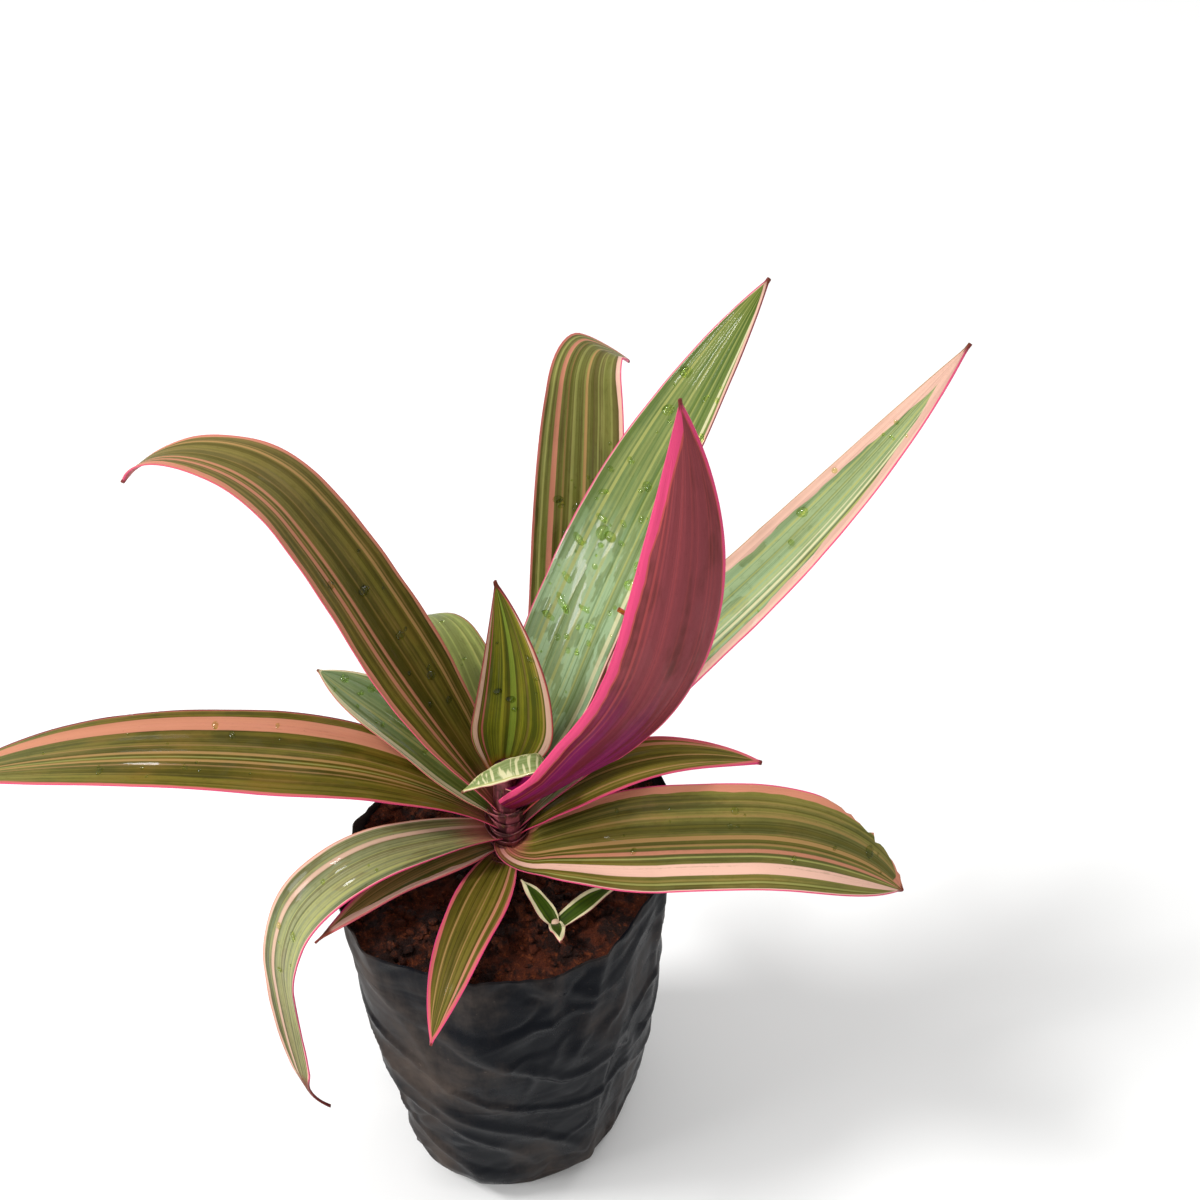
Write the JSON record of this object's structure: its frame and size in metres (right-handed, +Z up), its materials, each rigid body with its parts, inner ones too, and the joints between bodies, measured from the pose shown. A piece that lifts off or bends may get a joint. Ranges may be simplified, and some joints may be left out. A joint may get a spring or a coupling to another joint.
{
  "type": "potted tradescantia",
  "caption": "Rosette of long, stiff, striped leaves with purple undersides on a short stem, growing in reddish soil in a black film grow bag.",
  "frame": {"origin": "centre of the bag's flat base, on the surface that it rests on", "axes": "+Z up along the stem, +Y to the back of the plant as the picture shows it, +X to its right"},
  "size_m": [0.4029, 0.2107, 0.4411],
  "materials": {
    "film": "wrinkled black polythene film with dry dust",
    "soil": "moist, crumbly, reddish brown",
    "stem": "satin, ringed by leaf bases",
    "striped_leaf": "satin, olive green with cream and salmon stripes",
    "purple_leaf": "satin, purple underside with pink margins",
    "pale_leaf": "satin, pale green with cream stripes",
    "shoot": "satin, green with pale margins"
  },
  "bodies": {
    "root": {"grow_bag": "film", "soil": "soil", "stem": "stem", "leaf_back_tall": "striped_leaf", "leaf_front_purple": "purple_leaf", "leaf_young_centre": "striped_leaf", "leaf_heart_curled": "striped_leaf", "leaf_left_arching": "striped_leaf", "leaf_right_low": "striped_leaf", "leaf_back_folded": "striped_leaf", "leaf_right_pale": "pale_leaf", "leaf_left_long": "striped_leaf", "leaf_left_drooping": "striped_leaf", "leaf_left_short": "striped_leaf", "leaf_young_right": "striped_leaf", "leaf_back_left_low": "striped_leaf", "leaf_left_small": "striped_leaf", "leaf_front_left": "striped_leaf", "leaf_right_short": "striped_leaf", "offset_shoot": "shoot"}
  },
  "joints": []
}
